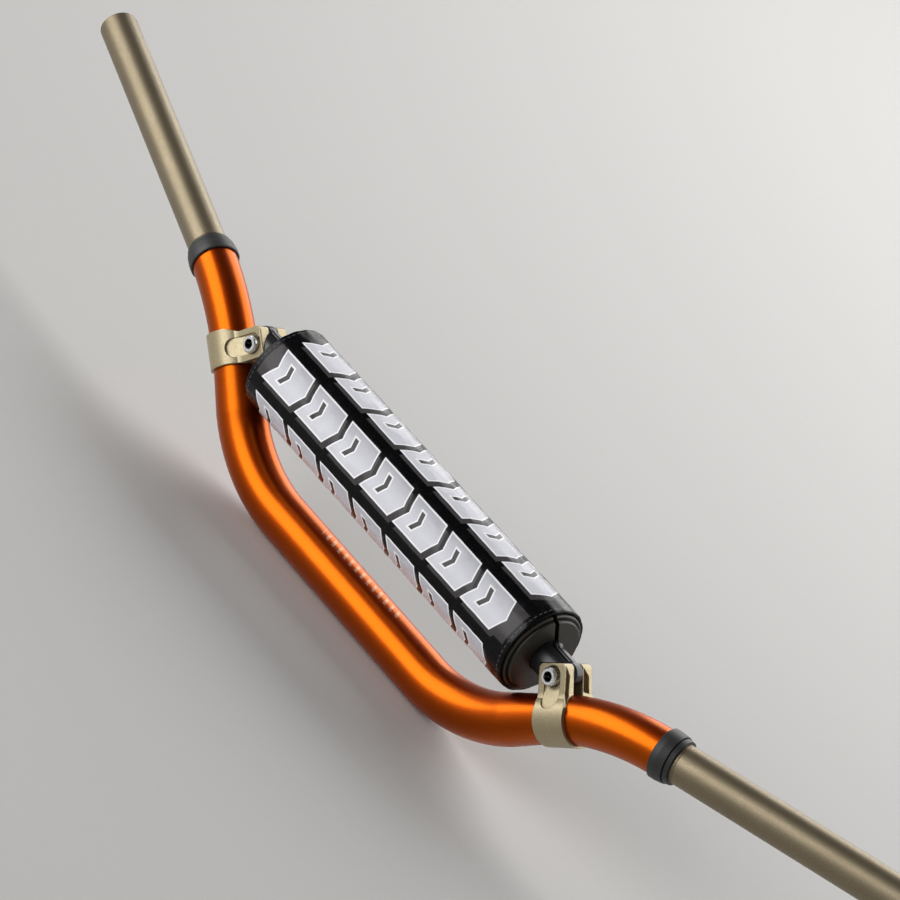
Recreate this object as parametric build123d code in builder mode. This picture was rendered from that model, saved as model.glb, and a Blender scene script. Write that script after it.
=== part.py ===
"""A motocross handlebar in millimetres: X across, +Z up, +Y the way the grips sweep back.

The origin is the middle of the centre section, on the tube's axis.
"""

import os
from math import cos, radians, sin

from build123d import *

os.makedirs("parts", exist_ok=True)

# Bend of the bar, along the tube's axis
centre_half = 68.0  # straight centre section, from the middle
bend_1_radius = 95.0
rise_angle = 41.0
run_length = 27.0
bend_2_radius = 125.0
grip_sweep = 12.7
grip_upsweep = 10.1
grip_length = 192.3  # straight from the end of bend 2 to the tip

# Tubes
centre_radius = 14.3
shoulder_radius = 13.0
outer_wall_centre = 2.0
inner_radius = 11.1
inner_bore = 7.4
slide_gap = 0.05  # between the two tubes
outer_tube_overrun = 0.2  # past the end of bend 2, under the collar
tip_chamfer = 0.6
ring_from_collar = 1.6  # scribed ring on the grip
ring_width = 0.5
ring_depth = 0.25

# Collars: places of their inboard faces before the end of bend 2, and their profile from there
right_collar_back = 1.0
left_collar_back = 7.6
collar_rim_radius = 14.2
collar_waist_radius = 13.6
collar_rim_edge = 0.5
collar_ring_flat = 4.0
collar_ring_end = 8.6
collar_groove_radius = 12.4
collar_groove_end = 9.3
collar_step_radius = 13.0
collar_step_slope = 0.4
collar_end = 11.8
collar_tube_seat = 13.12
collar_grip_seat = 11.12
collar_tube_room = 0.1

# Crossbar and its place above the tube
bar_offset = 1.6  # along Y
bar_radius = 9.5
bar_wall = 1.6

# Clamps, in their own frame: X along the tube, Y across the legs, Z up the legs
clamp_station = 6.1  # past the end of the straight run, along bend 2
band_radius = 14.9
band_half = 10.0
band_shift = 2.5  # outboard from the legs' middle
band_seat = 13.05
band_spread = 8.0  # angle at which the legs leave the band
leg_half = 8.8
leg_shift = 0.6  # outboard from the bolt
leg_top = 28.8
leg_top_out = 10.4
leg_low_out = 11.2
leg_low = 14.0
leg_corner = 3.0
near_edge_round = 0.8
far_edge_round = 2.4
leg_flare_top = 13.0
leg_flare_low = 6.0
slot_half = 3.65
bolt_height = 21.6
window_floor = 6.35  # of the windows on both sides, from the legs' middle
near_window = ((-9.8, 27.3), (-10.4, 14.0), (-12.5, 6.8), (-7.6, 12.2), (-6.8, 22.2))
far_window = ((4.1, 26.6), (8.2, 22.4), (8.8, 13.2), (4.1, 14.2))

# Bolts, nuts and sleeves
bolt_radius = 3.0
bolt_hole = 3.2
head_radius = 5.0
head_height = 6.4
head_seat = 7.1  # from the middle plane of the legs
hex_across = 5.3
hex_depth = 4.4
head_chamfer = 0.8
scoop_radius = 5.3
scoop_shift = 0.9  # outboard from the bolt
scoop_low = 9.3  # height of the scoop's lower end
scoop_tilt = 20.0
scoop_floor = 10.0
nut_across = 10.0
nut_height = 5.0
nut_bore = 3.03
nut_seat_radius = 6.1
bolt_overrun = 1.2
sleeve_radius = 4.2
sleeve_bore = 3.1
sleeve_hole = 4.25

# Crossbar ends
end_radius = 9.6
spigot_length = 20.0
spigot_gap = 0.05
leg_gap = 0.3  # between the shoulders and the legs
tongue_half = 3.6
tongue_height = 7.8
tip_radius = 6.2
tip_forward = 4.2
tip_up = 2.0
tip_round = 1.8
rib_half = 2.2
rib_round = 1.3
knob_radius = 3.2
knob_hole = 1.3
knob_gap = 0.25  # from the cap
knob_rise = 1.2  # above the rib

# Bar pad
pad_radius = 26.8
pad_from_bolt = 20.9  # the pad's end from the bolt
cover_wall = 1.3
hem_radius = 0.9
core_bore = 9.55
core_gap = 0.05
cap_flange = 2.2
cap_flange_gap = 0.05  # behind the hem
cap_neck_radius = 24.6
cap_rim_proud = 1.3  # of the pad's end
cap_rim_edge = 0.6
cap_rim_inside = 23.2
cap_groove_proud = 0.4
cap_disc_radius = 22.3
cap_disc_edge = 0.7
cap_disc_proud = 3.3
cap_hole = 9.9
cap_slit = 2.6
core_slit = 0.8
slit_offset = 6.8  # the slit's line from the crossbar's axis
slit_lean = 34.0  # from upright, toward the back at its lower end
closure_angle = 112.5  # of the closure, from the top toward the back
closure_spread = 48.0
closure_wall = 1.1
closure_gap = 0.1
cover_gap = 3.0

# Places worked out from the dimensions above
rise = radians(rise_angle)
sweep = radians(grip_sweep)
upsweep = radians(grip_upsweep)
run_dir = Vector(cos(rise), 0, sin(rise))
grip_dir = Vector(cos(upsweep) * cos(sweep), cos(upsweep) * sin(sweep), sin(upsweep))
bend_1_end = Vector(
    centre_half + bend_1_radius * sin(rise), 0, bend_1_radius * (1 - cos(rise))
)
run_end = bend_1_end + run_dir * run_length
turn_axis_dir = run_dir.cross(grip_dir).normalized()
turn_in = turn_axis_dir.cross(run_dir).normalized()
turn_angle = run_dir.get_angle(grip_dir)
turn_centre = run_end + turn_in * bend_2_radius
turn = radians(turn_angle)
bend_2_end = turn_centre + (run_dir * sin(turn) - turn_in * cos(turn)) * bend_2_radius

bend_1_axis = Axis((centre_half, 0, bend_1_radius), (0, -1, 0))
bend_2_axis = Axis(turn_centre, turn_axis_dir)
run_axis = Axis(bend_1_end, run_dir)
grip_axis = Axis(bend_2_end, grip_dir)

centre_plane = Plane.YZ
bend_1_plane = Plane.YZ.offset(centre_half)
run_plane = Plane(bend_1_end, x_dir=run_dir, z_dir=(0, -1, 0))
bend_2_plane = Plane(run_end, x_dir=(0, 1, 0), z_dir=run_dir)
grip_side = grip_dir.cross(Vector(0, 0, 1)).normalized()
grip_plane = Plane(bend_2_end, x_dir=grip_dir, z_dir=grip_side)
left_grip_start = Vector(-bend_2_end.X, bend_2_end.Y, bend_2_end.Z)
left_grip_dir = Vector(-grip_dir.X, grip_dir.Y, grip_dir.Z)
left_grip_side = left_grip_dir.cross(Vector(0, 0, 1)).normalized()
left_grip_axis = Axis(left_grip_start, left_grip_dir)
left_grip_plane = Plane(left_grip_start, x_dir=left_grip_dir, z_dir=left_grip_side)

clamp_turn = clamp_station / bend_2_radius
clamp_dir = run_dir * cos(clamp_turn) + turn_in * sin(clamp_turn)
clamp_spot = (
    turn_centre + (run_dir * sin(clamp_turn) - turn_in * cos(clamp_turn)) * bend_2_radius
)
clamp_origin = Vector(clamp_spot.X, bar_offset, clamp_spot.Z)
leg_up = Vector(-clamp_dir.Z, 0, clamp_dir.X).normalized()
clamp_x = Vector(leg_up.Z, 0, -leg_up.X)
bolt_spot = clamp_origin + leg_up * bolt_height
bar_height = bolt_spot.Z
pad_half = bolt_spot.X - pad_from_bolt
cap_out = pad_half + cap_disc_proud
cap_shoulder = pad_half - 2 * hem_radius - cap_flange_gap
cap_in = cap_shoulder - cap_flange
bar_half = cap_in
knob_x = cap_out + knob_gap + knob_radius


def bar_form(middle_radius, grip_radius, straight_end):
    """Solid of one half of the bar out to a distance along the grip."""
    with BuildPart() as form:
        with BuildSketch(centre_plane):
            Circle(middle_radius)
        extrude(amount=centre_half)
        with BuildSketch(bend_1_plane):
            Circle(middle_radius)
        revolve(axis=bend_1_axis, revolution_arc=rise_angle)
        with BuildSketch(run_plane):
            with BuildLine():
                Polyline(
                    (0, 0),
                    (run_length, 0),
                    (run_length, grip_radius),
                    (0, middle_radius),
                    close=True,
                )
            make_face()
        revolve(axis=run_axis)
        with BuildSketch(bend_2_plane):
            Circle(grip_radius)
        revolve(axis=bend_2_axis, revolution_arc=turn_angle)
        with BuildSketch(grip_plane):
            with BuildLine():
                Polyline(
                    (0, 0),
                    (straight_end, 0),
                    (straight_end, grip_radius),
                    (0, grip_radius),
                    close=True,
                )
            make_face()
        revolve(axis=grip_axis)
    return form.part


# Outer tube
middle_bore = centre_radius - outer_wall_centre
shoulder_bore = inner_radius + slide_gap
with BuildPart() as outer_tube:
    add(bar_form(centre_radius, shoulder_radius, outer_tube_overrun))
    add(bar_form(middle_bore, shoulder_bore, outer_tube_overrun), mode=Mode.SUBTRACT)
    mirror(about=Plane.YZ)
outer_tube.part.label = "outer_tube"
export_step(outer_tube.part, "parts/outer_tube.step")

# Inner tube, whose ends are the grips, with a scribed ring outboard of each collar
right_ring_start = collar_end - right_collar_back + ring_from_collar
left_ring_start = collar_end - left_collar_back + ring_from_collar
with BuildPart() as inner_tube:
    add(bar_form(inner_radius, inner_radius, grip_length))
    add(bar_form(inner_bore, inner_bore, grip_length), mode=Mode.SUBTRACT)
    tip_face = inner_tube.faces().sort_by(Axis.X)[-1]
    chamfer(tip_face.edges(), length=tip_chamfer)
    mirror(about=Plane.YZ)
    with BuildSketch(grip_plane):
        with Locations((right_ring_start + ring_width / 2, inner_radius)):
            Rectangle(ring_width, 2 * ring_depth)
    revolve(axis=grip_axis, mode=Mode.SUBTRACT)
    with BuildSketch(left_grip_plane):
        with Locations((left_ring_start + ring_width / 2, inner_radius)):
            Rectangle(ring_width, 2 * ring_depth)
    revolve(axis=left_grip_axis, mode=Mode.SUBTRACT)
inner_tube.part.label = "inner_tube"
export_step(inner_tube.part, "parts/inner_tube.step")

# Room for the outer tube in the collars and the clamps
with BuildPart() as tube_envelope:
    with BuildSketch(run_plane):
        with BuildLine():
            Polyline(
                (0, 0),
                (run_length, 0),
                (run_length, band_seat),
                (0, centre_radius + slide_gap),
                close=True,
            )
        make_face()
    revolve(axis=run_axis)
    with BuildSketch(bend_2_plane):
        Circle(band_seat)
    revolve(axis=bend_2_axis, revolution_arc=turn_angle)

# Collars
tube_end = outer_tube_overrun + collar_tube_room


def collar_form(back):
    """Solid of a right collar that starts a distance before the end of bend 2."""
    face = -back
    with BuildPart() as form:
        with BuildSketch(grip_plane):
            with BuildLine():
                Polyline(
                    (face, collar_tube_seat),
                    (face, collar_rim_radius - collar_rim_edge),
                    (face + collar_rim_edge, collar_rim_radius),
                    (face + collar_ring_flat, collar_rim_radius),
                    (face + collar_ring_end, collar_waist_radius),
                    (face + collar_ring_end, collar_groove_radius),
                    (face + collar_groove_end, collar_groove_radius),
                    (face + collar_groove_end, collar_step_radius),
                    (face + collar_end, collar_step_radius - collar_step_slope),
                    (face + collar_end, collar_grip_seat),
                    (tube_end, collar_grip_seat),
                    (tube_end, collar_tube_seat),
                    close=True,
                )
            make_face()
        revolve(axis=grip_axis)
        add(tube_envelope.part, mode=Mode.SUBTRACT)
    return form.part


right_collar = collar_form(right_collar_back)
right_collar.label = "right_collar"
export_step(right_collar, "parts/right_collar.step")

left_collar = mirror(collar_form(left_collar_back), about=Plane.YZ)
left_collar.label = "left_collar"
export_step(left_collar, "parts/left_collar.step")

# Crossbar clamps: a band round the tube and two legs, built in the clamp's own frame
leg_out = Vector(0, 1, 0)
side_plane = Plane(clamp_origin, x_dir=leg_out, z_dir=clamp_x)
front_plane = Plane(clamp_origin, x_dir=clamp_x, z_dir=-leg_out)
bolt_plane = Plane(bolt_spot, x_dir=clamp_x, z_dir=-leg_out)
nut_plane = Plane(bolt_spot, x_dir=clamp_x, z_dir=leg_out)
tilt = radians(scoop_tilt)
scoop_middle = (
    clamp_origin + clamp_x * scoop_shift + leg_up * (bolt_height + scoop_low) / 2
)
near_scoop_plane = Plane(
    scoop_middle - leg_out * scoop_floor,
    x_dir=clamp_x,
    z_dir=leg_up * sin(tilt) - leg_out * cos(tilt),
)
scoop_length = bolt_height - scoop_low
far_reach = 40.0
overcut = 1.0
spread = radians(band_spread)
band_middle = (clamp_spot.Y - bar_offset, 0)
band_side = band_radius * cos(spread)
band_rise = band_radius * sin(spread)

with BuildPart() as right_clamp:
    # Outline seen along the tube
    with BuildSketch(side_plane):
        with Locations(band_middle):
            Circle(band_radius)
        with BuildLine():
            near_side = Spline(
                (-leg_low_out, leg_low),
                (band_middle[0] - band_side, band_rise),
                tangents=((leg_top_out - leg_low_out, leg_low - leg_top), (-sin(spread), -cos(spread))),
            )
            far_side = Spline(
                (band_middle[0] + band_side, band_rise),
                (leg_low_out, leg_low),
                tangents=((-sin(spread), cos(spread)), (leg_top_out - leg_low_out, leg_top - leg_low)),
            )
            Polyline(far_side @ 1, (leg_top_out, leg_top), (-leg_top_out, leg_top), near_side @ 0)
            Line(near_side @ 1, far_side @ 0)
        make_face()
        top_corners = vertices().group_by(Axis.Y)[-1].sort_by(Axis.X)
        fillet(top_corners[0], radius=near_edge_round)
        fillet(top_corners[-1], radius=far_edge_round)
    extrude(amount=far_reach, both=True)
    # Outline seen from the front
    with BuildSketch(front_plane):
        with BuildLine():
            Polyline(
                (leg_shift - leg_half, leg_top),
                (leg_shift + leg_half, leg_top),
                (leg_shift + leg_half, leg_flare_top),
                (band_shift + band_half, leg_flare_low),
                (band_shift + band_half, -band_radius - overcut),
                (band_shift - band_half, -band_radius - overcut),
                (band_shift - band_half, leg_flare_low),
                (leg_shift - leg_half, leg_flare_top),
                close=True,
            )
        make_face()
        fillet(vertices().group_by(Axis.Y)[-1], radius=leg_corner)
    extrude(amount=far_reach, both=True, mode=Mode.INTERSECT)
    # Slot between the legs, from the tube to the top
    with BuildSketch(side_plane):
        with Locations((0, leg_top / 2)):
            Rectangle(2 * slot_half, leg_top + 2 * overcut)
    extrude(amount=far_reach, both=True, mode=Mode.SUBTRACT)
    add(tube_envelope.part, mode=Mode.SUBTRACT)
    # Windows in both sides of both legs
    for window_side in (1, -1):
        with BuildSketch(side_plane.offset(leg_shift + window_side * window_floor)):
            with BuildLine():
                Polyline(*near_window, close=True)
            make_face()
            with BuildLine():
                Polyline(*far_window, close=True)
            make_face()
        extrude(amount=window_side * far_reach, mode=Mode.SUBTRACT)
    # Holes and seats of the bolt and the nut
    with BuildSketch(bolt_plane):
        Circle(bolt_hole)
    extrude(amount=far_reach, both=True, mode=Mode.SUBTRACT)
    with BuildSketch(bolt_plane.offset(head_seat)):
        Circle(scoop_radius)
    extrude(amount=far_reach, mode=Mode.SUBTRACT)
    with BuildSketch(nut_plane.offset(head_seat)):
        Circle(nut_seat_radius)
    extrude(amount=far_reach, mode=Mode.SUBTRACT)
    # Scoop that runs from the bolt's head down the near leg
    with BuildSketch(near_scoop_plane):
        SlotCenterToCenter(scoop_length, 2 * scoop_radius, rotation=90)
    extrude(amount=far_reach, mode=Mode.SUBTRACT)
right_clamp.part.label = "right_crossbar_clamp"
export_step(right_clamp.part, "parts/right_crossbar_clamp.step")

left_clamp = mirror(right_clamp.part, about=Plane.YZ)
left_clamp.label = "left_crossbar_clamp"
export_step(left_clamp, "parts/left_crossbar_clamp.step")

# Bolts
bolt_length = 2 * head_seat + nut_height + bolt_overrun
with BuildPart() as right_bolt:
    with BuildSketch(bolt_plane.offset(head_seat)):
        Circle(head_radius)
    extrude(amount=head_height)
    chamfer(right_bolt.edges().sort_by(Axis.Y)[0], length=head_chamfer)
    with BuildSketch(bolt_plane.offset(head_seat + head_height)):
        RegularPolygon(hex_across / 2, side_count=6, major_radius=False)
    extrude(amount=-hex_depth, mode=Mode.SUBTRACT)
    with BuildSketch(bolt_plane.offset(head_seat)):
        Circle(bolt_radius)
    extrude(amount=-bolt_length)
    chamfer(right_bolt.edges().sort_by(Axis.Y)[-1], length=head_chamfer)
right_bolt.part.label = "right_clamp_bolt"
export_step(right_bolt.part, "parts/right_clamp_bolt.step")

left_bolt = mirror(right_bolt.part, about=Plane.YZ)
left_bolt.label = "left_clamp_bolt"
export_step(left_bolt, "parts/left_clamp_bolt.step")

# Nuts
with BuildPart() as right_nut:
    with BuildSketch(nut_plane.offset(head_seat)):
        RegularPolygon(nut_across / 2, side_count=6, major_radius=False)
        Circle(nut_bore, mode=Mode.SUBTRACT)
    extrude(amount=nut_height)
right_nut.part.label = "right_clamp_nut"
export_step(right_nut.part, "parts/right_clamp_nut.step")

left_nut = mirror(right_nut.part, about=Plane.YZ)
left_nut.label = "left_clamp_nut"
export_step(left_nut, "parts/left_clamp_nut.step")

# Sleeves round the bolts
with BuildPart() as right_sleeve:
    with BuildSketch(bolt_plane):
        Circle(sleeve_radius)
        Circle(sleeve_bore, mode=Mode.SUBTRACT)
    extrude(amount=tongue_half, both=True)
right_sleeve.part.label = "right_end_sleeve"
export_step(right_sleeve.part, "parts/right_end_sleeve.step")

left_sleeve = mirror(right_sleeve.part, about=Plane.YZ)
left_sleeve.label = "left_end_sleeve"
export_step(left_sleeve, "parts/left_end_sleeve.step")

# Crossbar tube
bar_spot = (bar_offset, bar_height)
bar_axis = Axis((0, bar_offset, bar_height), (1, 0, 0))
with BuildPart() as crossbar_tube:
    with BuildSketch(Plane.YZ):
        with Locations(bar_spot):
            Circle(bar_radius)
            Circle(bar_radius - bar_wall, mode=Mode.SUBTRACT)
    extrude(amount=bar_half, both=True)
crossbar_tube.part.label = "crossbar_tube"
export_step(crossbar_tube.part, "parts/crossbar_tube.step")

# Crossbar ends: a round body, a flat tongue between the legs and a rounded rib over it
bolt_x = bolt_spot.X
middle_plane = Plane((0, bar_offset, 0), x_dir=(1, 0, 0), z_dir=(0, -1, 0))
tip_spot = bolt_spot + clamp_x * tip_forward + leg_up * tip_up
rib_top = tip_spot.Z + tip_radius

with BuildPart() as rib:
    with BuildSketch(middle_plane):
        with BuildLine():
            Polyline(
                (knob_x, 2 * bar_height - rib_top),
                (bolt_x, 2 * bar_height - rib_top),
                (bolt_x, bar_height),
                (tip_spot.X, bar_height),
                (tip_spot.X, rib_top),
                (knob_x, rib_top),
                close=True,
            )
        make_face()
        with Locations((knob_x, rib_top + knob_rise - knob_radius)):
            Circle(knob_radius)
    extrude(amount=rib_half, both=True)
    rib_sides = rib.faces().sort_by(Axis.Y)
    fillet(rib_sides[0].edges() + rib_sides[-1].edges(), radius=rib_round)
    with Locations(Plane((knob_x, bar_offset, rib_top + knob_rise - knob_radius), z_dir=(0, 1, 0))):
        Cylinder(knob_hole, 2 * rib_half, mode=Mode.SUBTRACT)

with BuildPart() as tip:
    with BuildSketch(middle_plane):
        with Locations((tip_spot.X, tip_spot.Z)):
            Circle(tip_radius)
    extrude(amount=tongue_half, both=True)
    fillet(tip.edges().filter_by(GeomType.CIRCLE), radius=tip_round)

with BuildPart() as right_end:
    with BuildSketch(Plane.YZ.offset(bar_half)):
        with Locations(bar_spot):
            Circle(end_radius)
    extrude(amount=bolt_x - bar_half)
    with BuildSketch(Plane.YZ.offset(bar_half)):
        with Locations(bar_spot):
            Circle(bar_radius - bar_wall - spigot_gap)
    extrude(amount=-spigot_length)
    # Flat sides of the tongue, clear of the legs
    with BuildSketch(side_plane.offset(leg_shift - leg_half - leg_gap)):
        with Locations((0, leg_top + leg_gap - far_reach / 2)):
            Rectangle(2 * far_reach, far_reach)
            Rectangle(2 * tongue_half, far_reach, mode=Mode.SUBTRACT)
    extrude(amount=far_reach, mode=Mode.SUBTRACT)
    # Top and bottom of the tongue, below the rib
    for tongue_side in (1, -1):
        cut_height = bar_height + tongue_side * (tongue_height + far_reach / 2)
        with BuildSketch(middle_plane):
            with Locations((knob_x + far_reach / 2, cut_height)):
                Rectangle(far_reach, far_reach)
        extrude(amount=tongue_half, both=True, mode=Mode.SUBTRACT)
    add(rib.part)
    add(tip.part)
    with BuildSketch(bolt_plane):
        Circle(sleeve_hole)
    extrude(amount=far_reach, both=True, mode=Mode.SUBTRACT)
right_end.part.label = "right_crossbar_end"
export_step(right_end.part, "parts/right_crossbar_end.step")

left_end = mirror(right_end.part, about=Plane.YZ)
left_end.label = "left_crossbar_end"
export_step(left_end, "parts/left_crossbar_end.step")

# Bar pad: foam, sleeve, closure and end caps
pad_inner = pad_radius - cover_wall
lean = radians(slit_lean)
slit_normal = Vector(0, cos(lean), sin(lean))
slit_foot = Vector(0, bar_offset, bar_height) + slit_normal * slit_offset
slit_plane = Plane(slit_foot, x_dir=(1, 0, 0), z_dir=slit_normal)

with BuildPart() as pad_core:
    with BuildSketch(Plane.YZ):
        with Locations(bar_spot):
            Circle(pad_inner - core_gap)
            Circle(core_bore, mode=Mode.SUBTRACT)
    extrude(amount=cap_in, both=True)
    with BuildSketch(slit_plane):
        with Locations((0, -far_reach / 2)):
            Rectangle(2 * pad_half, far_reach)
    extrude(amount=core_slit / 2, both=True, mode=Mode.SUBTRACT)
pad_core.part.label = "pad_core"
export_step(pad_core.part, "parts/pad_core.step")

closure = radians(closure_angle)
closure_dir = Vector(0, sin(closure), cos(closure))
closure_plane = Plane(
    Vector(0, bar_offset, bar_height), x_dir=(1, 0, 0), z_dir=closure_dir
)
hem_x = pad_half - hem_radius
with BuildPart() as pad_cover:
    with BuildSketch(Plane.XZ.offset(-bar_offset)):
        with Locations((0, bar_height + pad_radius - cover_wall / 2)):
            Rectangle(2 * hem_x, cover_wall)
        with Locations(
            (hem_x, bar_height + pad_radius - hem_radius),
            (-hem_x, bar_height + pad_radius - hem_radius),
        ):
            Circle(hem_radius)
    revolve(axis=bar_axis)
    with BuildSketch(closure_plane):
        Rectangle(2 * pad_half, cover_gap)
    extrude(amount=far_reach, mode=Mode.SUBTRACT)
pad_cover.part.label = "pad_cover"
export_step(pad_cover.part, "parts/pad_cover.step")

with BuildPart() as pad_closure:
    with BuildSketch(Plane.YZ):
        with Locations(bar_spot):
            Circle(pad_radius + closure_wall)
            Circle(pad_radius + closure_gap, mode=Mode.SUBTRACT)
    extrude(amount=hem_x - hem_radius, both=True)
    half_chord = (pad_radius + closure_wall) * sin(radians(closure_spread / 2))
    with BuildSketch(closure_plane):
        Rectangle(2 * pad_half, 2 * half_chord)
    extrude(amount=far_reach, mode=Mode.INTERSECT)
pad_closure.part.label = "pad_closure_strip"
export_step(pad_closure.part, "parts/pad_closure_strip.step")

cap_rim_out = pad_half + cap_rim_proud
cap_groove = pad_half + cap_groove_proud
cap_plane = Plane((0, bar_offset, bar_height), x_dir=(1, 0, 0), z_dir=(0, -1, 0))
with BuildPart() as right_cap:
    with BuildSketch(cap_plane):
        with BuildLine():
            Polyline(
                (cap_in, cap_hole),
                (cap_in, pad_inner - core_gap),
                (cap_shoulder, pad_inner - core_gap),
                (cap_shoulder, cap_neck_radius),
                (cap_rim_out - cap_rim_edge, cap_neck_radius),
                (cap_rim_out, cap_neck_radius - cap_rim_edge),
                (cap_rim_out, cap_rim_inside),
                (cap_groove, cap_rim_inside),
                (cap_groove, cap_disc_radius),
                (cap_out - cap_disc_edge, cap_disc_radius),
                (cap_out, cap_disc_radius - cap_disc_edge),
                (cap_out, cap_hole),
                close=True,
            )
        make_face()
    revolve(axis=bar_axis)
    with BuildSketch(slit_plane):
        with Locations((cap_out, -far_reach / 2)):
            Rectangle(far_reach, far_reach)
    extrude(amount=cap_slit / 2, both=True, mode=Mode.SUBTRACT)
right_cap.part.label = "right_pad_cap"
export_step(right_cap.part, "parts/right_pad_cap.step")

left_cap = mirror(right_cap.part, about=Plane.YZ)
left_cap.label = "left_pad_cap"
export_step(left_cap, "parts/left_pad_cap.step")
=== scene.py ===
"""The looks of a motocross handlebar, built on its CAD frame.

Lengths are in metres. The frame's X runs along the bar's width, Z up with its rise and Y the way
the grips sweep back. The bar's metal, rubber and moulded pieces keep their CAD meshes and get
finishes. The bar pad's foam, sleeve and closure strip are modelled here as soft pieces.
"""

import logging
import math
from dataclasses import dataclass, field
from enum import Enum

import bpy
import numpy as np
from mathutils import Matrix, Vector

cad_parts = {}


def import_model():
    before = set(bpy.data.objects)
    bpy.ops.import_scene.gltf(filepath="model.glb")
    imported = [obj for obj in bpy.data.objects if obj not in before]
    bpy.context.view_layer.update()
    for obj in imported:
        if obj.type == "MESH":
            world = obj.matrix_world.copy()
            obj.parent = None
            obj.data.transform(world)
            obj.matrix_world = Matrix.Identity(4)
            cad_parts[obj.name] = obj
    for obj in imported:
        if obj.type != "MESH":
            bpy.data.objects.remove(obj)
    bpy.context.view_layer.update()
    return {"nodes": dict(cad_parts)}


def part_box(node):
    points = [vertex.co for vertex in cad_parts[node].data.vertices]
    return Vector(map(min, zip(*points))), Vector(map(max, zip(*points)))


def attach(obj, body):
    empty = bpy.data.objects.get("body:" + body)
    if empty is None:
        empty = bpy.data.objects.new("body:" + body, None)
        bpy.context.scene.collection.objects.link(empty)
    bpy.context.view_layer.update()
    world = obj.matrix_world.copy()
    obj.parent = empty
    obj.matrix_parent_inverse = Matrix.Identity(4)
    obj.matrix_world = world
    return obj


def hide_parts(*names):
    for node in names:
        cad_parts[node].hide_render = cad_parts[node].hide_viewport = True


logging.basicConfig(level=logging.INFO, format="%(message)s")
log = logging.getLogger("handlebar")

Colour = tuple[float, float, float]
Point = tuple[float, float, float]
FloatArray = np.ndarray

NOISE_SPAN = (0.3, 0.7)  # most of a noise's values lie between these
ROUGH_SWING = 0.05  # how far a surface's grain moves its roughness


def added(name: str, data: bpy.types.ID) -> bpy.types.Object:
    """Puts a mesh, a light or a camera into the scene.

    Args:
        name: The object's name.
        data: Its data.

    Returns:
        The object.
    """
    thing = bpy.data.objects.new(name, data)
    bpy.context.scene.collection.objects.link(thing)
    return thing


def aimed(place: Point, target: Point, roll: float = 0.0) -> Matrix:
    """Gives the placement of a lamp or a camera that looks at a point.

    Args:
        place: Where it stands.
        target: What it looks at.
        roll: How far it is turned about its own axis, in degrees.

    Returns:
        The matrix.
    """
    turn = (Vector(target) - Vector(place)).to_track_quat("-Z", "Y").to_matrix().to_4x4()
    return Matrix.Translation(Vector(place)) @ (turn @ Matrix.Rotation(math.radians(roll), 4, "Z"))


# Shader building

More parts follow.
